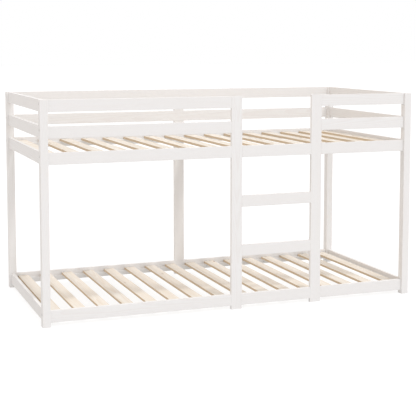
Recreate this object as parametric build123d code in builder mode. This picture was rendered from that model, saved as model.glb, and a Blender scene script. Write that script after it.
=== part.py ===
"""Bunk bed with a fixed ladder: painted pine frame, natural pine slats and their fixings.

Millimetres, +Z up. X runs along the beds, the ladder side faces -Y, and the origin is on the
floor under the middle of the bed. Each physical piece is a solid in its own node; slats go in
neighbouring pairs, and identical fixings share a node.
"""
from build123d import *
import os

os.makedirs("parts", exist_ok=True)

# Overall size
LENGTH = 2060.0
WIDTH = 960.0
HEIGHT = 1120.0

# Timber sections
POST = 40.0  # side of a square corner post
POST_EASE = 2.0  # rounding of its upright edges and chamfer of its ends
BOARD = 18.0  # thickness of every rail, rung and upright board
FACE = 60.0  # height of every rail and rung, width of every upright board
EASE = 1.5  # rounding along the long edges of a board
HALF = BOARD / 2

# Heights of the rails' undersides
LOWER_Z = 21.0
RAIL_STEP = 129.0
TOP_Z = HEIGHT - FACE
GUARD_Z = TOP_Z - RAIL_STEP
UPPER_Z = GUARD_Z - RAIL_STEP
LEVELS = (LOWER_Z, UPPER_Z, GUARD_Z, TOP_Z)

# Centre lines of the corner posts and of the boards between them
POST_X = (LENGTH - POST) / 2
POST_Y = (WIDTH - POST) / 2
SPAN_X = POST_X - POST / 2  # inner faces of the posts, where the rails end
SPAN_Y = POST_Y - POST / 2
RAIL_IN = POST_Y - HALF  # inner face of a side rail
FRONT, BACK = -1, 1
LEFT, RIGHT = -1, 1

# Ladder, and the upright board in the middle of the back
LADDER_CLEAR = 398.0
LADDER_LEFT = 0.0
LADDER_RIGHT = LADDER_LEFT + LADDER_CLEAR + FACE
MIDDLE_BACK = 0.0
RUNG_STEP = (UPPER_Z - LOWER_Z) / 3

# Slatted bases
CLEAT_HEIGHT = 26.0
CLEAT_DEPTH = 20.0
CLEAT_RISE = 5.0  # cleat's underside above the rail's
CLEAT_LENGTH = 2 * SPAN_X - 4.0
CLEAT_Y = RAIL_IN - CLEAT_DEPTH / 2
SLATS = 16
SLAT_WIDTH = 60.0
SLAT_THICK = 13.0
SLAT_TOP = CLEAT_RISE + CLEAT_HEIGHT + SLAT_THICK  # above the rail's underside
SLAT_LENGTH = 2 * RAIL_IN - 6.0
SLAT_PITCH = 126.6
SLAT_X = [(i - (SLATS - 1) / 2) * SLAT_PITCH for i in range(SLATS)]
SLATS_PER_NODE = 2

# Connector bolts and the barrel nuts that they pull on
FIT = 0.05  # radial play of a fixing in its hole
BOLT_R = 3.0
BOLT_LENGTH = 70.0  # under the head
BOLT_HOLE_R = 3.5
BOLT_HEAD_R = 8.0
BOLT_HEAD_H = 3.0
BOLT_SOCKET_R = 2.3
BOLT_TIP = 1.0
BOLT_Z = FACE / 2 + 12.0  # above the rail's underside
NUT_R = 5.0
NUT_LENGTH = 14.0
NUT_INSET = 25.0  # from the end of the rail
NUT_SLOT = (6.0, 1.2, 1.0)
RAIL_BOLT_DEPTH = BOLT_LENGTH + BOLT_HEAD_H - POST + 3.0

# Dowels
DOWEL_R = 4.0
DOWEL_LENGTH = 32.0
DOWEL_BITE = 14.0  # how far a dowel goes into a post or upright
DOWEL_OFF = 15.0  # above and below the middle of a rail
DOWEL_PLAY = 1.0  # spare depth of its holes

# Countersunk wood screws
SCREW_R = 2.0
SCREW_HEAD_R = 4.0
SCREW_HEAD_H = 2.5
SCREW_POINT = 5.0
SCREW_CROSS = (4.4, 0.9, 1.6)
LAP_SCREW = 15.0  # lengths
SLAT_SCREW = 32.0
CLEAT_SCREW = 32.0
LAP_SCREW_OFF = (16.0, 14.0)  # along X and Z from the middle of a lap
CLEAT_SCREW_Z = 13.0  # above the cleat's underside
CLEAT_SCREW_SHIFT = 18.0  # keeps it clear of the slat screw above it
CLEAT_SCREW_EVERY = 3  # slats

# Boards along X: left end, right end, side of the bed, underside
SIDE_BOARDS = {
    "lower_front_rail": (-SPAN_X, SPAN_X, FRONT, LOWER_Z),
    "lower_back_rail": (-SPAN_X, SPAN_X, BACK, LOWER_Z),
    "upper_front_rail": (-SPAN_X, SPAN_X, FRONT, UPPER_Z),
    "upper_back_rail": (-SPAN_X, SPAN_X, BACK, UPPER_Z),
    "guard_back_low": (-SPAN_X, SPAN_X, BACK, GUARD_Z),
    "guard_back_top": (-SPAN_X, SPAN_X, BACK, TOP_Z),
    "guard_front_left_low": (-SPAN_X, LADDER_LEFT - FACE / 2, FRONT, GUARD_Z),
    "guard_front_left_top": (-SPAN_X, LADDER_LEFT - FACE / 2, FRONT, TOP_Z),
    "guard_front_right_low": (LADDER_RIGHT + FACE / 2, SPAN_X, FRONT, GUARD_Z),
    "guard_front_right_top": (LADDER_RIGHT + FACE / 2, SPAN_X, FRONT, TOP_Z),
    "rung_low": (LADDER_LEFT + FACE / 2, LADDER_RIGHT - FACE / 2, FRONT, LOWER_Z + RUNG_STEP),
    "rung_high": (LADDER_LEFT + FACE / 2, LADDER_RIGHT - FACE / 2, FRONT, LOWER_Z + 2 * RUNG_STEP),
}

# Boards along Y, between the corner posts: end of the bed, underside
END_BOARDS = {
    "lower_left_rail": (LEFT, LOWER_Z),
    "lower_right_rail": (RIGHT, LOWER_Z),
    "upper_left_rail": (LEFT, UPPER_Z),
    "upper_right_rail": (RIGHT, UPPER_Z),
    "guard_left_low": (LEFT, GUARD_Z),
    "guard_left_top": (LEFT, TOP_Z),
    "guard_right_low": (RIGHT, GUARD_Z),
    "guard_right_top": (RIGHT, TOP_Z),
}

CORNER_POSTS = {
    "post_front_left": (LEFT, FRONT),
    "post_front_right": (RIGHT, FRONT),
    "post_back_left": (LEFT, BACK),
    "post_back_right": (RIGHT, BACK),
}

# Upright boards: middle line, side of the bed
UPRIGHTS = {
    "ladder_post_left": (LADDER_LEFT, FRONT),
    "ladder_post_right": (LADDER_RIGHT, FRONT),
    "middle_back_post": (MIDDLE_BACK, BACK),
}

BASES = {"lower": LOWER_Z, "upper": UPPER_Z}
SIDES = {"front": FRONT, "back": BACK}


def save(name, piece):
    """Label a finished node and write its STEP file."""
    piece.part.label = name
    export_step(piece.part, f"parts/{name}.step")


def drill(start, way, radius, depth):
    """Cut a round hole from a point on a face along a direction."""
    with Locations(Plane(origin=start, z_dir=way)):
        Cylinder(radius, depth, align=(Align.CENTER, Align.CENTER, Align.MIN), mode=Mode.SUBTRACT)


def countersink(start, way, length):
    """Cut the hole of a countersunk screw from its head to its tip."""
    drill(start, way, SCREW_R + FIT, length)
    with Locations(Plane(origin=start, z_dir=way)):
        Cone(
            SCREW_HEAD_R + FIT,
            SCREW_R + FIT,
            SCREW_HEAD_H,
            align=(Align.CENTER, Align.CENTER, Align.MIN),
            mode=Mode.SUBTRACT,
        )


def board_ends(x_low, x_high):
    """The ends of a board along X, each with the sign of the direction out of it."""
    return (x_low, -1), (x_high, 1)


def at_corner(x):
    return abs(x) == SPAN_X


def dowel_heights(x, z):
    """Dowels in one end of a side board: one beside the bolt of a corner post, two elsewhere."""
    middle = z + FACE / 2
    if at_corner(x):
        return (middle - DOWEL_OFF,)
    return middle - DOWEL_OFF, middle + DOWEL_OFF


def crossings(x, side):
    """Undersides of the boards that run past an upright board."""
    return [z for low, high, where, z in SIDE_BOARDS.values() if where == side and low < x < high]


def lap_screws():
    """Heads of the screws that hold the half-lap joints, two to a joint."""
    for x, side in UPRIGHTS.values():
        for z in crossings(x, side):
            for way in (-1, 1):
                off_x, off_z = (way * off for off in LAP_SCREW_OFF)
                yield x + off_x, side * POST_Y + HALF, z + FACE / 2 + off_z


def cleat_screws(side, z):
    """Heads of the screws that hold a cleat to its side rail, each hidden under a slat."""
    for x in SLAT_X[::CLEAT_SCREW_EVERY]:
        shift = CLEAT_SCREW_SHIFT if x < 0 else -CLEAT_SCREW_SHIFT
        yield x + shift, side * (RAIL_IN - CLEAT_DEPTH), z + CLEAT_RISE + CLEAT_SCREW_Z


def slat_screws(x, z):
    """Heads of the two screws that hold the slat at x."""
    for side in (FRONT, BACK):
        yield x, side * CLEAT_Y, z + SLAT_TOP


# Corner posts, with a counterbored bolt hole and a dowel hole for each side board, and two
# dowel holes for each end board
for name, (end, side) in CORNER_POSTS.items():
    with BuildPart() as post:
        with BuildSketch():
            with Locations((end * POST_X, side * POST_Y)):
                RectangleRounded(POST, POST, POST_EASE)
        extrude(amount=HEIGHT)
        for cap in (post.faces().sort_by(Axis.Z)[0], post.faces().sort_by(Axis.Z)[-1]):
            chamfer(cap.edges(), POST_EASE / 2)
        for z in LEVELS:
            outside = (end * LENGTH / 2, side * POST_Y, z + BOLT_Z)
            drill(outside, (-end, 0, 0), BOLT_HEAD_R + FIT, BOLT_HEAD_H)
            drill(outside, (-end, 0, 0), BOLT_HOLE_R, POST)
            for height in dowel_heights(end * SPAN_X, z):
                inside = (end * SPAN_X, side * POST_Y, height)
                drill(inside, (end, 0, 0), DOWEL_R + FIT, DOWEL_BITE + DOWEL_PLAY)
            for off in (-DOWEL_OFF, DOWEL_OFF):
                inside = (end * POST_X, side * SPAN_Y, z + FACE / 2 + off)
                drill(inside, (0, side, 0), DOWEL_R + FIT, DOWEL_BITE + DOWEL_PLAY)
    save(name, post)

# Ladder posts and middle back post: full-height boards in the plane of the side boards. The
# inner half of their thickness is cut away where a board runs past, to make half-lap joints
for name, (x, side) in UPRIGHTS.items():
    with BuildPart() as upright:
        with BuildSketch():
            with Locations((x, side * POST_Y)):
                RectangleRounded(FACE, BOARD, EASE)
        extrude(amount=HEIGHT)
        for z in crossings(x, side):
            with BuildSketch(Plane.XY.offset(z)):
                with Locations((x, side * (POST_Y - HALF / 2))):
                    Rectangle(FACE, HALF)
            extrude(amount=FACE, mode=Mode.SUBTRACT)
        for low, high, where, z in SIDE_BOARDS.values():
            for end, out in board_ends(low, high):
                if where == side and end + out * FACE / 2 == x:
                    for height in dowel_heights(end, z):
                        face = (end, side * POST_Y, height)
                        drill(face, (out, 0, 0), DOWEL_R + FIT, DOWEL_BITE + DOWEL_PLAY)
        for head in lap_screws():
            if abs(head[0] - x) < FACE / 2 and head[1] * side > 0:
                countersink(head, (0, -1, 0), LAP_SCREW)
    save(name, upright)

# Side boards: rails, guard rails and rungs. The outer half of their thickness is cut away
# where they cross an upright board
for name, (low, high, side, z) in SIDE_BOARDS.items():
    with BuildPart() as board:
        with BuildSketch(Plane.YZ.offset(low)):
            with Locations((side * POST_Y, z + FACE / 2)):
                RectangleRounded(BOARD, FACE, EASE)
        extrude(amount=high - low)
        for x, where in UPRIGHTS.values():
            if where == side and low < x < high:
                with BuildSketch(Plane.XY.offset(z)):
                    with Locations((x, side * (POST_Y + HALF / 2))):
                        Rectangle(FACE, HALF)
                extrude(amount=FACE, mode=Mode.SUBTRACT)
        for end, out in board_ends(low, high):
            for height in dowel_heights(end, z):
                depth = DOWEL_LENGTH - DOWEL_BITE + DOWEL_PLAY
                drill((end, side * POST_Y, height), (-out, 0, 0), DOWEL_R + FIT, depth)
            if at_corner(end):
                drill((end, side * POST_Y, z + BOLT_Z), (-out, 0, 0), BOLT_HOLE_R, RAIL_BOLT_DEPTH)
                nut_mouth = (end - out * NUT_INSET, side * POST_Y + HALF, z + BOLT_Z)
                drill(nut_mouth, (0, -1, 0), NUT_R + FIT, (BOARD + NUT_LENGTH) / 2)
        for head in lap_screws():
            if low < head[0] < high and head[1] * side > 0 and z < head[2] < z + FACE:
                countersink(head, (0, -1, 0), LAP_SCREW)
        if z in BASES.values():
            for head in cleat_screws(side, z):
                drill(head, (0, side, 0), SCREW_R + FIT, CLEAT_SCREW)
    save(name, board)

# End boards
for name, (end, z) in END_BOARDS.items():
    with BuildPart() as board:
        with BuildSketch(Plane.XZ.offset(-SPAN_Y)):
            with Locations((end * POST_X, z + FACE / 2)):
                RectangleRounded(BOARD, FACE, EASE)
        extrude(amount=2 * SPAN_Y)
        for side in (FRONT, BACK):
            for off in (-DOWEL_OFF, DOWEL_OFF):
                face = (end * POST_X, side * SPAN_Y, z + FACE / 2 + off)
                drill(face, (0, -side, 0), DOWEL_R + FIT, DOWEL_LENGTH - DOWEL_BITE + DOWEL_PLAY)
    save(name, board)

# Cleats along the side rails, which carry the slats
for base, z in BASES.items():
    for side_name, side in SIDES.items():
        with BuildPart() as cleat:
            with BuildSketch(Plane.YZ.offset(-CLEAT_LENGTH / 2)):
                with Locations((side * CLEAT_Y, z + CLEAT_RISE + CLEAT_HEIGHT / 2)):
                    Rectangle(CLEAT_DEPTH, CLEAT_HEIGHT)
            extrude(amount=CLEAT_LENGTH)
            inner_face = cleat.faces().sort_by(Axis.Y)[0 if side == BACK else -1]
            chamfer(inner_face.edges().filter_by(Axis.X), EASE)
            for head in cleat_screws(side, z):
                countersink(head, (0, side, 0), CLEAT_SCREW)
            for x in SLAT_X:
                for head in slat_screws(x, z):
                    drill(head, (0, 0, -1), SCREW_R + FIT, SLAT_SCREW)
        save(f"{base}_{side_name}_cleat", cleat)

# Slats, in neighbouring pairs
for base, z in BASES.items():
    for first in range(0, SLATS, SLATS_PER_NODE):
        pair = SLAT_X[first : first + SLATS_PER_NODE]
        with BuildPart() as slats:
            with BuildSketch(Plane.XZ.offset(-SLAT_LENGTH / 2)):
                with Locations(*[(x, z + SLAT_TOP - SLAT_THICK / 2) for x in pair]):
                    RectangleRounded(SLAT_WIDTH, SLAT_THICK, EASE)
            extrude(amount=SLAT_LENGTH)
            for x in pair:
                for head in slat_screws(x, z):
                    countersink(head, (0, 0, -1), SLAT_SCREW)
        save(f"{base}_slats_{first + 1:02d}_{first + SLATS_PER_NODE:02d}", slats)

# One of each fixing, with its head or first end at the origin and pointing up
with BuildPart() as bolt:
    with BuildSketch():
        Circle(BOLT_HEAD_R)
    extrude(amount=BOLT_HEAD_H)
    chamfer(bolt.edges().sort_by(Axis.Z)[0], BOLT_HEAD_H / 4)
    with BuildSketch(Plane.XY.offset(BOLT_HEAD_H)):
        Circle(BOLT_R)
    extrude(amount=BOLT_LENGTH)
    chamfer(bolt.edges().sort_by(Axis.Z)[-1], BOLT_TIP)
    with BuildSketch():
        RegularPolygon(BOLT_SOCKET_R, 6)
    extrude(amount=BOLT_HEAD_H, mode=Mode.SUBTRACT)

with BuildPart() as barrel_nut:
    with BuildSketch():
        Circle(NUT_R)
    extrude(amount=NUT_LENGTH)
    with BuildSketch(Plane.YZ.offset(-NUT_R)):
        with Locations((0, NUT_LENGTH / 2)):
            Circle(BOLT_R + FIT)
    extrude(amount=2 * NUT_R, mode=Mode.SUBTRACT)
    Box(*NUT_SLOT, align=(Align.CENTER, Align.CENTER, Align.MIN), mode=Mode.SUBTRACT)

with BuildPart() as dowel:
    with BuildSketch():
        Circle(DOWEL_R)
    extrude(amount=DOWEL_LENGTH)
    chamfer(dowel.edges().filter_by(GeomType.CIRCLE), DOWEL_PLAY)


def wood_screw(length):
    """A countersunk screw with a cross recess, its head at the origin and its point upwards."""
    slot_x, slot_y, slot_z = SCREW_CROSS
    with BuildPart() as piece:
        with BuildSketch(Plane.XZ):
            with BuildLine():
                Polyline(
                    (0, 0),
                    (SCREW_HEAD_R, 0),
                    (SCREW_R, SCREW_HEAD_H),
                    (SCREW_R, length - SCREW_POINT),
                    (0, length),
                    close=True,
                )
            make_face()
        revolve(axis=Axis.Z)
        for size in ((slot_x, slot_y, slot_z), (slot_y, slot_x, slot_z)):
            Box(*size, align=(Align.CENTER, Align.CENTER, Align.MIN), mode=Mode.SUBTRACT)
    return piece.part


def save_group(name, piece, places):
    """Write copies of one fixing, each a separate solid, as one node."""
    with BuildPart() as group:
        with Locations(*places):
            add(piece)
    save(name, group)


# Where the fixings of the frame go
bolt_places = []
nut_places = []
corner_dowels = []
ladder_dowels = []
for low, high, side, z in SIDE_BOARDS.values():
    for end, out in board_ends(low, high):
        dowels = corner_dowels if at_corner(end) else ladder_dowels
        for height in dowel_heights(end, z):
            bitten = (end + out * DOWEL_BITE, side * POST_Y, height)
            dowels.append(Plane(origin=bitten, z_dir=(-out, 0, 0)))
        if at_corner(end):
            head = (out * LENGTH / 2, side * POST_Y, z + BOLT_Z)
            bolt_places.append(Plane(origin=head, z_dir=(-out, 0, 0)))
            mouth = (end - out * NUT_INSET, side * POST_Y + NUT_LENGTH / 2, z + BOLT_Z)
            nut_places.append(Plane(origin=mouth, x_dir=(1, 0, 0), z_dir=(0, -1, 0)))
end_dowels = [
    Plane(
        origin=(end * POST_X, side * (SPAN_Y + DOWEL_BITE), z + FACE / 2 + off),
        z_dir=(0, -side, 0),
    )
    for end, z in END_BOARDS.values()
    for side in (FRONT, BACK)
    for off in (-DOWEL_OFF, DOWEL_OFF)
]

save_group("frame_bolts", bolt.part, bolt_places)
save_group("barrel_nuts", barrel_nut.part, nut_places)
save_group("corner_dowels", dowel.part, corner_dowels)
save_group("ladder_dowels", dowel.part, ladder_dowels)
save_group("end_rail_dowels", dowel.part, end_dowels)
save_group(
    "lap_screws",
    wood_screw(LAP_SCREW),
    [Plane(origin=head, z_dir=(0, -1, 0)) for head in lap_screws()],
)
for base, z in BASES.items():
    save_group(
        f"{base}_cleat_screws",
        wood_screw(CLEAT_SCREW),
        [
            Plane(origin=head, z_dir=(0, side, 0))
            for side in (FRONT, BACK)
            for head in cleat_screws(side, z)
        ],
    )
    save_group(
        f"{base}_slat_screws",
        wood_screw(SLAT_SCREW),
        [Plane(origin=head, z_dir=(0, 0, -1)) for x in SLAT_X for head in slat_screws(x, z)],
    )
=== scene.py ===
"""Looks of the bunk bed with ladder: painted pine frame, bare pine bases, and the studio around it.

Metres, in the model's frame: origin on the floor under the middle of the bed, X along the bed,
the ladder on the -Y side, Z up.
"""

import math

import bpy
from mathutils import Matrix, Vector


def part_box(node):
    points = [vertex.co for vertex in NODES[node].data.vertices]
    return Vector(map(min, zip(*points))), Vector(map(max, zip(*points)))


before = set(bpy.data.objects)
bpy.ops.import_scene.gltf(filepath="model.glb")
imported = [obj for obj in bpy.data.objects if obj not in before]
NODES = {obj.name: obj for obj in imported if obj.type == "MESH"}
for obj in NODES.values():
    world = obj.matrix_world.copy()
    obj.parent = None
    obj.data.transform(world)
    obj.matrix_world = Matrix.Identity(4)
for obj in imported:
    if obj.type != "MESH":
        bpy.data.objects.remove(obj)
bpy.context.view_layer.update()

MM = 0.001

# Colours are linear RGBA.
PAINT_WHITE = (0.845, 0.840, 0.832, 1)
PAINT_THIN = (0.800, 0.745, 0.690, 1)      # where the coat is thin and the wood warms it
PAINT_SHADE = (0.780, 0.742, 0.722, 1)     # in the valleys of the grain
PINE_EARLY = (0.880, 0.830, 0.755, 1)
PINE_LATE = (0.760, 0.640, 0.500, 1)
PINE_WARM = (0.800, 0.710, 0.590, 1)
PINE_KNOT = (0.330, 0.180, 0.090, 1)
SAWN_SHADED_PALE = (0.710, 0.560, 0.390, 1)      # the slats' sawn edges: their own wood, darkened with painted shade
SAWN_SHADED_DEEP = (0.600, 0.440, 0.280, 1)
BEECH_LIGHT = (0.660, 0.470, 0.310, 1)
BEECH_DARK = (0.520, 0.340, 0.200, 1)
ZINC_LIGHT = (0.700, 0.710, 0.725, 1)
ZINC_YELLOW = (0.640, 0.620, 0.560, 1)
FLOOR_LIGHT = (0.300, 0.300, 0.300, 1)
FLOOR_DARK = (0.290, 0.290, 0.290, 1)
WHITE = (1, 1, 1, 1)

# The pattern of a log. A scale is per metre, and three of them are across the grain twice and
# then along it. A pair is the span over which something comes or goes. Noise lies mostly
# between 0.25 and 0.8, so a span inside that leaves patches.
BEND_SCALE = (9, 9, 1.3)                   # slow bends of the year rings
BEND_SIZE = (0.022, 0.022, 0)              # how far they go
KNOT_SCALE = 8.5                           # cells, of which some hold a knot
KNOT_STRETCH = (1, 1, 0.55)                # cells are longer along the grain
KNOT_SCATTER = 0.9                         # 0 for a regular grid
KNOT_DRAW = (0.60, 0.66)                   # a cell whose draw is above this, of 1, holds one
KNOT_CORE = (0.045, 0.085)                 # a knot's edge, in cells
KNOT_REACH = (0.06, 0.34)                  # edge of the wood that it bends, in cells
KNOT_PUSH = 0.009                          # how far it shifts the rings
RING_DARKENS = (0.25, 0.88)                # shares of a ring: slowly from earlywood to latewood,
RING_ENDS = (0.90, 1.0)                    # and quickly back
FIBRE_SCALE = (900, 900, 14)
FIBRES = (0.25, 0.8)                       # of the fibres' noise, from between them to on them
TONE_SCALE = (42, 42, 2.2)                 # slow changes of colour

# Where the painted boards lie in their logs
EVEN_SPREAD = 0.618034                     # step that spreads the boards' draws evenly over 0 to 1
HEART_AWAY = 0.075                         # from the log's heart to the board's middle
BOARD_STEP = 2.5                           # along the log, from one board to the next
LEAST_TILT = 0.6                           # degrees between board and log
MORE_TILT = 1.6                            # and the most that a board's draw adds

# Where the slats lie in theirs
SLAT_STEP = 3.7                            # along the log, from one slat to the next
UPPER_NUMBERS = 41                         # the upper bed's slats are numbered this much higher
SLAT_TILT = 0.07                           # spread of the slope between slat and log
HEART_SIDE = 0.12                          # spread of the heart's place across the slat
HEART_HEIGHT = 0.12                        # its highest place: above the floor for the lower bed, and
HEART_DROP = 0.05                          # above halfway for the upper. A slat's draw lowers it by this

# White paint on pine
PAINT_RING = 4.2 * MM                      # width of a year ring
PAINT_LINES = (0.15, 0.55)                 # share of latewood that shows, between fibres and on them
PAINT_TONE = 0.10                          # share of slow tone, and of knots, that shows
PAINT_KNOT = 0.25
PAINT_EDGE = (0.4 * MM, 3.0 * MM)          # an edge's wear is full up to here and gone from here
PAINT_PATCH_SCALE = 38                     # of the patches that it comes in
PAINT_PATCHES = (0.42, 0.68)
PAINT_WEAR = 0.35
PAINT_ROUGH = (0.36, 0.50)                 # between fibres and on them
PAINT_LINE_ROUGH = 0.04                    # and this much more on latewood
PAINT_LINE_SINK = 0.5                      # how deep latewood lies, in heights of a fibre
PAINT_RELIEF = 0.12 * MM
PAINT_PEEL = 0.05 * MM                     # the coat's own faint unevenness
PAINT_PEEL_SCALE = 420
PAINT_IOR = 1.48

# Bare pine
PINE_RING = 4.5 * MM
PINE_LINES = (0.35, 0.75)
PINE_TONE = 0.6
PINE_BENT = 0.35                           # warmth of the bent wood round a knot
PINE_CORE = 0.8
PINE_ROUGH = (0.52, 0.68)
PINE_LINE_SINK = 0.6
PINE_RELIEF = 0.15 * MM
SLAT_VALUES = (0.94, 1.03)                 # brightness of the darkest and the lightest slat
SAWN_SHADE_TURN = (0.45, 0.85)                   # how far a face turns sideways to take the sawn edges' colour and painted shade
WOOD_IOR = 1.45

# Beech
FLECK_SCALE = 900
FLECK_STEP = 10                            # more for each node, so that no two are alike
BEECH_TONE_SCALE = 60
BEECH_TONE = 0.4
BEECH_ROUGH = (0.55, 0.7)
BEECH_RELIEF = 0.08 * MM

# Zinc plate
CLOUD_SCALE = 160
MARK_SCALE = 1400
MARK_STRETCH = (1, 1, 5)
ZINC_ROUGH = (0.24, 0.40)
ZINC_RELIEF = 0.02 * MM

# A Mix node's sockets for colours
MIX_FIRST = 6
MIX_SECOND = 7
MIX_RESULT = 2

# Studio
FLOOR_REACH = 60.0                         # from the middle to each side
FLOOR_SCALE = 3
FLOOR_ROUGH = (0.85, 0.95)
FLOOR_GLOSS = 0.1
FLOOR_GLOW = 0.45                          # light that the floor, a lit table, gives the bed
FLOOR_SEEN = 0.78                          # and how bright that glow looks, so shadows on it stay pale
SKY_BLEND = (0.1, 0.9)                     # heights, of 1, from the horizon's colour to overhead's
CAMERA_PLACE = (-2.0392, -5.4502, 1.3848)
CAMERA_DOWN = 5.524                        # degrees below the horizon
CAMERA_TURN = -20.662                      # degrees from +Y, minus for towards +X
CAMERA_LENS = 90.283                       # millimetres, as is the sensor's width
CAMERA_SENSOR = 36.0
CAMERA_SHIFT = -0.15                       # lowers the frame, so that the bed stands higher in it
CAMERA_FAR = 200.0


# ---------------------------------------------------------------- node helpers

class Shader:
    """One material, with short calls for its nodes: a socket is linked, any other value is set."""

    def __init__(self, name):
        self.material = bpy.data.materials.new(name)
        self.material.use_nodes = True
        self.tree = self.material.node_tree
        self.tree.nodes.clear()
        self.surface = self.node("BsdfPrincipled")
        output = self.node("OutputMaterial")
        self.tree.links.new(self.surface.outputs[0], output.inputs["Surface"])

    def put(self, socket, value):
        if isinstance(value, bpy.types.NodeSocket):
            self.tree.links.new(value, socket)
        else:
            socket.default_value = value

    def node(self, kind, inputs=None, **settings):
        made = self.tree.nodes.new("ShaderNode" + kind)
        for key, value in settings.items():
            setattr(made, key, value)
        for key, value in (inputs or {}).items():
            self.put(made.inputs[key], value)
        return made

    def place(self):
        """Coordinates in the model's frame, in metres."""
        return self.node("TexCoord").outputs["Object"]

    def split(self, vector):
        """The x, y and z of a vector."""
        return self.node("SeparateXYZ", {0: vector}).outputs

    def math(self, operation, a, b=0.0):
        return self.node("Math", {0: a, 1: b}, operation=operation).outputs[0]

    def vector(self, operation, a, b=(0, 0, 0)):
        return self.node("VectorMath", {0: a, 1: b}, operation=operation).outputs[0]

    def ramp(self, value, span, to=(0.0, 1.0)):
        """Smooth step of value over span, from the first number of to, to the second."""
        limits = {"From Min": span[0], "From Max": span[1], "To Min": to[0], "To Max": to[1]}
        made = self.node("MapRange", {"Value": value, **limits}, interpolation_type="SMOOTHSTEP")
        return made.outputs[0]

    def noise(self, where, scale, detail=2.0, roughness=0.5):
        inputs = {"Vector": where, "Scale": scale, "Detail": detail, "Roughness": roughness}
        return self.node("TexNoise", inputs).outputs["Fac"]

    def mix(self, share, first, second):
        inputs = {0: share, MIX_FIRST: first, MIX_SECOND: second}
        return self.node("Mix", inputs, data_type="RGBA").outputs[MIX_RESULT]

    def bump(self, height, depth, under=None):
        inputs = {"Height": height, "Distance": depth, "Strength": 1.0}
        if under is not None:
            inputs["Normal"] = under
        return self.node("Bump", inputs).outputs[0]

    def finish(self, **values):
        """Sets the surface's inputs, named with _ for a space, and returns the material."""
        for key, value in values.items():
            self.put(self.surface.inputs[key.replace("_", " ")], value)
        return self.material


# ---------------------------------------------------------------- wood

def turned_to_grain(shader, where, axis):
    """Coordinates with the grain along their third component."""
    parts = shader.split(where)
    order = {0: (1, 2, 0), 1: (0, 2, 1), 2: (0, 1, 2)}[axis]
    inputs = {i: parts[order[i]] for i in range(3)}
    return shader.node("CombineXYZ", inputs).outputs[0]


def grain(shader, log, ring_width):
    """Pattern of a board cut from a log whose heart lies along the third axis of log.

    Returns latewood lines, fine fibres, slow tone, knots and the bent wood round them, each
    from 0 to 1.
    """
    stretched = shader.vector("MULTIPLY", log, BEND_SCALE)
    bend = shader.node("TexNoise", {"Vector": stretched, "Scale": 1.0, "Detail": 2.0}).outputs["Color"]
    bend = shader.vector("MULTIPLY", shader.vector("SUBTRACT", bend, (0.5, 0.5, 0.5)), BEND_SIZE)

    knot_space = shader.vector("MULTIPLY", log, KNOT_STRETCH)
    inputs = {"Vector": knot_space, "Scale": KNOT_SCALE, "Randomness": KNOT_SCATTER}
    cells = shader.node("TexVoronoi", inputs)
    draw = shader.node("SeparateColor", {0: cells.outputs["Color"]}).outputs[0]
    chosen = shader.ramp(draw, KNOT_DRAW)
    near = shader.math("MULTIPLY", shader.ramp(cells.outputs["Distance"], KNOT_REACH, (1, 0)), chosen)
    knot = shader.math("MULTIPLY", shader.ramp(cells.outputs["Distance"], KNOT_CORE, (1, 0)), chosen)

    across = shader.vector("MULTIPLY", shader.vector("ADD", log, bend), (1, 1, 0))
    radius = shader.node("VectorMath", {0: across}, operation="LENGTH").outputs["Value"]
    radius = shader.math("ADD", radius, shader.math("MULTIPLY", near, KNOT_PUSH))
    phase = shader.math("FRACT", shader.math("DIVIDE", radius, ring_width))
    darkens = shader.ramp(phase, RING_DARKENS)
    late = shader.math("MULTIPLY", darkens, shader.ramp(phase, RING_ENDS, (1, 0)))

    fine = shader.vector("MULTIPLY", log, FIBRE_SCALE)
    fibres = shader.noise(fine, 1.0, detail=3, roughness=0.6)
    slow = shader.vector("MULTIPLY", log, TONE_SCALE)
    tone = shader.noise(slow, 1.0, detail=3, roughness=0.55)
    return late, fibres, tone, knot, near


def edge_distance(shader, where, corners):
    """Distance, in metres, from a point on a board's surface to the board's nearest edge."""
    low, high = corners
    middle, half = (low + high) / 2, (high - low) / 2
    off = shader.vector("ABSOLUTE", shader.vector("SUBTRACT", where, tuple(middle)))
    x, y, z = shader.split(shader.vector("SUBTRACT", tuple(half), off))
    lesser = shader.math("MINIMUM", x, y)
    greater = shader.math("MAXIMUM", x, y)
    return shader.math("MAXIMUM", lesser, shader.math("MINIMUM", greater, z))


def board_log(shader, name, index):
    """Log coordinates for one board: each board lies elsewhere in its own tilted log."""
    low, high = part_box(name)
    size = high - low
    axis = max(range(3), key=lambda i: size[i])
    local = shader.vector("SUBTRACT", shader.place(), tuple((low + high) / 2))
    along = turned_to_grain(shader, local, axis)
    draw = (index * EVEN_SPREAD) % 1
    tilt = math.radians(LEAST_TILT + MORE_TILT * draw)
    turn = math.radians(360 * draw)
    heart = (HEART_AWAY * math.cos(turn), HEART_AWAY * math.sin(turn), BOARD_STEP * index)
    inputs = {"Vector": along, "Location": heart, "Rotation": (tilt, tilt / 2, 0)}
    return shader.node("Mapping", inputs).outputs[0]


def edge_wear(shader, where, corners):
    """Share of the coat that is worn thin, in patches along the edges of a board."""
    near_edge = shader.ramp(edge_distance(shader, where, corners), PAINT_EDGE, (1, 0))
    patches = shader.noise(where, PAINT_PATCH_SCALE, detail=4, roughness=0.6)
    patches = shader.ramp(patches, PAINT_PATCHES)
    return shader.math("MULTIPLY", shader.math("MULTIPLY", near_edge, patches), PAINT_WEAR)


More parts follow.
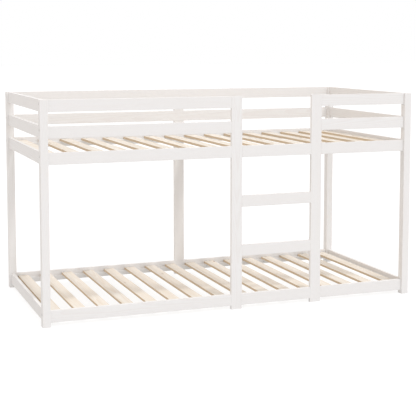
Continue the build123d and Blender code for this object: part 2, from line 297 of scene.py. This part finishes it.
def painted(name, index):
    """White satin paint on a pine board: the grain and knots show faintly through the coat."""
    shader = Shader("white_paint_" + name)
    where = shader.place()
    late, fibres, tone, knot, _ = grain(shader, board_log(shader, name, index), PAINT_RING)

    lines = shader.math("MULTIPLY", late, shader.ramp(fibres, (0.3, 0.75), PAINT_LINES))
    colour = shader.mix(lines, PAINT_WHITE, PAINT_SHADE)
    colour = shader.mix(shader.ramp(tone, (0.35, 0.75), (0, PAINT_TONE)), colour, PAINT_THIN)
    colour = shader.mix(shader.math("MULTIPLY", knot, PAINT_KNOT), colour, PAINT_THIN)
    colour = shader.mix(edge_wear(shader, where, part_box(name)), colour, PAINT_THIN)

    rough = shader.ramp(fibres, FIBRES, PAINT_ROUGH)
    rough = shader.math("ADD", rough, shader.math("MULTIPLY", late, PAINT_LINE_ROUGH))
    height = shader.math("SUBTRACT", fibres, shader.math("MULTIPLY", late, PAINT_LINE_SINK))
    relief = shader.bump(height, PAINT_RELIEF)
    relief = shader.bump(shader.noise(where, PAINT_PEEL_SCALE), PAINT_PEEL, relief)
    return shader.finish(Base_Color=colour, Roughness=rough, Normal=relief, IOR=PAINT_IOR)


def planed_pine(shader, log):
    """Planed bare pine: pale earlywood, amber latewood lines, warm patches and small knots.

    Returns colour, roughness, normal and latewood lines.
    """
    late, fibres, tone, knot, near = grain(shader, log, PINE_RING)
    lines = shader.math("MULTIPLY", late, shader.ramp(fibres, (0.2, 0.8), PINE_LINES))
    colour = shader.mix(lines, PINE_EARLY, PINE_LATE)
    colour = shader.mix(shader.ramp(tone, (0.40, 0.72), (0, PINE_TONE)), colour, PINE_WARM)
    colour = shader.mix(shader.math("MULTIPLY", near, PINE_BENT), colour, PINE_WARM)
    colour = shader.mix(shader.math("MULTIPLY", knot, PINE_CORE), colour, PINE_KNOT)
    rough = shader.ramp(fibres, FIBRES, PINE_ROUGH)
    height = shader.math("SUBTRACT", fibres, shader.math("MULTIPLY", late, PINE_LINE_SINK))
    return colour, rough, shader.bump(height, PINE_RELIEF), lines


def slat_log(shader, pitch, between_beds):
    """Log coordinates for the slats, and a draw from 0 to 1 for each.

    A slat is known by its bed and by its cell along the bed, one pitch wide.
    """
    x, y, z = shader.split(shader.place())
    cell = shader.math("FLOOR", shader.math("DIVIDE", x, pitch))
    upper = shader.math("GREATER_THAN", z, between_beds)
    number = shader.math("ADD", cell, shader.math("MULTIPLY", upper, UPPER_NUMBERS))
    draws = shader.node("TexWhiteNoise", {"W": number}, noise_dimensions="1D").outputs["Color"]
    first, second, third = shader.node("SeparateColor", {0: draws}).outputs

    in_cell = shader.math("SUBTRACT", x, shader.math("MULTIPLY", shader.math("ADD", cell, 0.5), pitch))
    side = shader.math("MULTIPLY", shader.math("SUBTRACT", first, 0.5), HEART_SIDE)
    level = shader.math("SUBTRACT", z, shader.math("MULTIPLY", upper, between_beds))
    height = shader.math("SUBTRACT", level, HEART_HEIGHT)
    depth = shader.math("ADD", shader.math("MULTIPLY", second, HEART_DROP), height)
    slope = shader.math("MULTIPLY", shader.math("SUBTRACT", third, 0.5), SLAT_TILT)
    lean = shader.math("MULTIPLY", y, slope)
    inputs = {
        0: shader.math("ADD", in_cell, side),
        1: shader.math("ADD", depth, lean),
        2: shader.math("ADD", y, shader.math("MULTIPLY", number, SLAT_STEP)),
    }
    return shader.node("CombineXYZ", inputs).outputs[0], second


def slats(pitch, between_beds):
    """Bare pine for all slats, each from its own log, with darker sawn edges: partly their own wood,
    partly painted shade.
    """
    shader = Shader("pine_slats")
    log, draw = slat_log(shader, pitch, between_beds)
    colour, rough, relief, lines = planed_pine(shader, log)
    normal = shader.node("NewGeometry").outputs["Normal"]
    sideways = shader.split(shader.vector("ABSOLUTE", normal))[0]
    # Faces turned sideways take the sawn edges' darker colour, which is partly painted shade.
    sawn_shade = shader.ramp(sideways, SAWN_SHADE_TURN)
    colour = shader.mix(sawn_shade, colour, shader.mix(lines, SAWN_SHADED_PALE, SAWN_SHADED_DEEP))
    value = shader.ramp(draw, (0, 1), SLAT_VALUES)
    colour = shader.node("HueSaturation", {"Color": colour, "Value": value}).outputs[0]
    return shader.finish(Base_Color=colour, Roughness=rough, Normal=relief, IOR=WOOD_IOR)


def beech(name, index):
    """Beech dowels: close, pinkish wood with short flecks."""
    shader = Shader("beech_" + name)
    where = shader.place()
    flecks = shader.noise(where, FLECK_SCALE + FLECK_STEP * index, detail=3, roughness=0.6)
    tone = shader.noise(where, BEECH_TONE_SCALE)
    colour = shader.mix(shader.ramp(flecks, (0.45, 0.65)), BEECH_LIGHT, BEECH_DARK)
    colour = shader.mix(shader.ramp(tone, (0.35, 0.7), (0, BEECH_TONE)), colour, BEECH_DARK)
    rough = shader.ramp(flecks, (0.3, 0.7), BEECH_ROUGH)
    relief = shader.bump(flecks, BEECH_RELIEF)
    return shader.finish(Base_Color=colour, Roughness=rough, Normal=relief, IOR=WOOD_IOR)


# ---------------------------------------------------------------- metal

def zinc(name):
    """Bright zinc plate with a faint yellow passivation and fine tool marks."""
    shader = Shader("zinc_" + name)
    where = shader.place()
    cloud = shader.noise(where, CLOUD_SCALE, detail=3, roughness=0.6)
    marks = shader.noise(shader.vector("MULTIPLY", where, MARK_STRETCH), MARK_SCALE, roughness=0.6)
    colour = shader.mix(shader.ramp(cloud, (0.4, 0.7)), ZINC_LIGHT, ZINC_YELLOW)
    rough = shader.ramp(marks, (0.3, 0.7), ZINC_ROUGH)
    relief = shader.bump(marks, ZINC_RELIEF)
    return shader.finish(Base_Color=colour, Metallic=1.0, Roughness=rough, Normal=relief)


# ---------------------------------------------------------------- bed

def dress(name, material):
    """Gives every material slot of a CAD node one material."""
    for slot in NODES[name].material_slots:
        slot.material = material


def dress_bed():
    """Gives each CAD node its material. All slats, two to a node, share one."""
    first, second = (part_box("lower_slats_" + pair)[0] for pair in ("01_02", "03_04"))
    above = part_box("upper_slats_01_02")[0]
    pitch = (second.x - first.x) / 2
    between_beds = (above.z + first.z) / 2
    slat_wood = slats(pitch, between_beds)
    for index, name in enumerate(sorted(NODES)):
        if "_slats_" in name:
            dress(name, slat_wood)
        elif name.endswith("_dowels"):
            dress(name, beech(name, index))
        elif name.endswith(("_screws", "_bolts", "_nuts")):
            dress(name, zinc(name))
        else:
            dress(name, painted(name, index))


# ---------------------------------------------------------------- studio

def floor():
    """A wide pale floor."""
    corners = [(x * FLOOR_REACH, y * FLOOR_REACH, 0) for x, y in ((-1, -1), (1, -1), (1, 1), (-1, 1))]
    mesh = bpy.data.meshes.new("studio_floor")
    mesh.from_pydata(corners, [], [(0, 1, 2, 3)])
    made = bpy.data.objects.new("studio_floor", mesh)
    bpy.context.scene.collection.objects.link(made)
    shader = Shader("studio_floor")
    cloud = shader.noise(shader.place(), FLOOR_SCALE, detail=4, roughness=0.6)
    colour = shader.mix(shader.ramp(cloud, (0.3, 0.7)), FLOOR_LIGHT, FLOOR_DARK)
    rough = shader.ramp(cloud, (0.3, 0.7), FLOOR_ROUGH)
    seen = shader.node("LightPath").outputs["Is Camera Ray"]
    glow = shader.ramp(seen, (0, 1), (FLOOR_GLOW, FLOOR_SEEN))
    material = shader.finish(
        Base_Color=colour,
        Roughness=rough,
        Specular_IOR_Level=FLOOR_GLOSS,
        Emission_Color=WHITE,
        Emission_Strength=glow,
    )
    mesh.materials.append(material)


def sky(level, overhead, shown):
    """Fill from all round: level is its colour at the horizon, and the camera sees shown instead."""
    world = bpy.data.worlds.new("studio")
    world.use_nodes = True
    bpy.context.scene.world = world
    tree = world.node_tree
    tree.nodes.clear()

    def made(kind, *sources):
        node = tree.nodes.new("ShaderNode" + kind)
        for target, source in sources:
            tree.links.new(source, node.inputs[target])
        return node

    towards = made("SeparateXYZ", (0, made("TexCoord").outputs["Generated"]))
    height = made("MapRange", ("Value", towards.outputs[2]))
    height.inputs["From Min"].default_value, height.inputs["From Max"].default_value = SKY_BLEND
    blend = made("Mix", (0, height.outputs[0]))
    blend.data_type = "RGBA"
    blend.inputs[MIX_FIRST].default_value = level
    blend.inputs[MIX_SECOND].default_value = overhead
    fill = made("Background", ("Color", blend.outputs[MIX_RESULT]))
    room = made("Background")
    room.inputs["Color"].default_value = shown
    seen = made("LightPath").outputs["Is Camera Ray"]
    mix = made("MixShader", (0, seen), (1, fill.outputs[0]), (2, room.outputs[0]))
    made("OutputWorld", ("Surface", mix.outputs[0]))


def sun(name, towards, strength, softness, colour):
    """A distant light in the direction towards, softness degrees wide."""
    lamp = bpy.data.lights.new(name, "SUN")
    lamp.energy = strength
    lamp.angle = math.radians(softness)
    lamp.color = colour
    made = bpy.data.objects.new(name, lamp)
    made.rotation_euler = Vector(towards).to_track_quat("Z", "Y").to_euler()
    bpy.context.scene.collection.objects.link(made)


def camera():
    """The photograph's view: from the front left, a little above the bed, with a long lens."""
    lens = bpy.data.cameras.new("camera")
    lens.lens = CAMERA_LENS
    lens.sensor_width = CAMERA_SENSOR
    lens.shift_y = CAMERA_SHIFT
    lens.clip_end = CAMERA_FAR
    lens.dof.use_dof = False
    made = bpy.data.objects.new("camera", lens)
    made.location = CAMERA_PLACE
    made.rotation_euler = (math.radians(90 - CAMERA_DOWN), 0, math.radians(CAMERA_TURN))
    bpy.context.scene.collection.objects.link(made)
    bpy.context.scene.camera = made


dress_bed()
floor()
sky(level=(1.01, 0.90, 0.83, 1), overhead=(0.85, 0.85, 0.85, 1), shown=WHITE)
sun("key", towards=(0.20, -0.36, 0.93), strength=0.85, softness=5.5, colour=(1, 1, 1))
sun("front", towards=(0.10, -0.95, 0.25), strength=0.37, softness=50, colour=(0.62, 0.80, 1.0))
sun("back", towards=(0.10, 0.95, 0.25), strength=0.22, softness=50, colour=(0.62, 0.80, 1.0))
camera()
bpy.context.scene.view_settings.view_transform = "Standard"
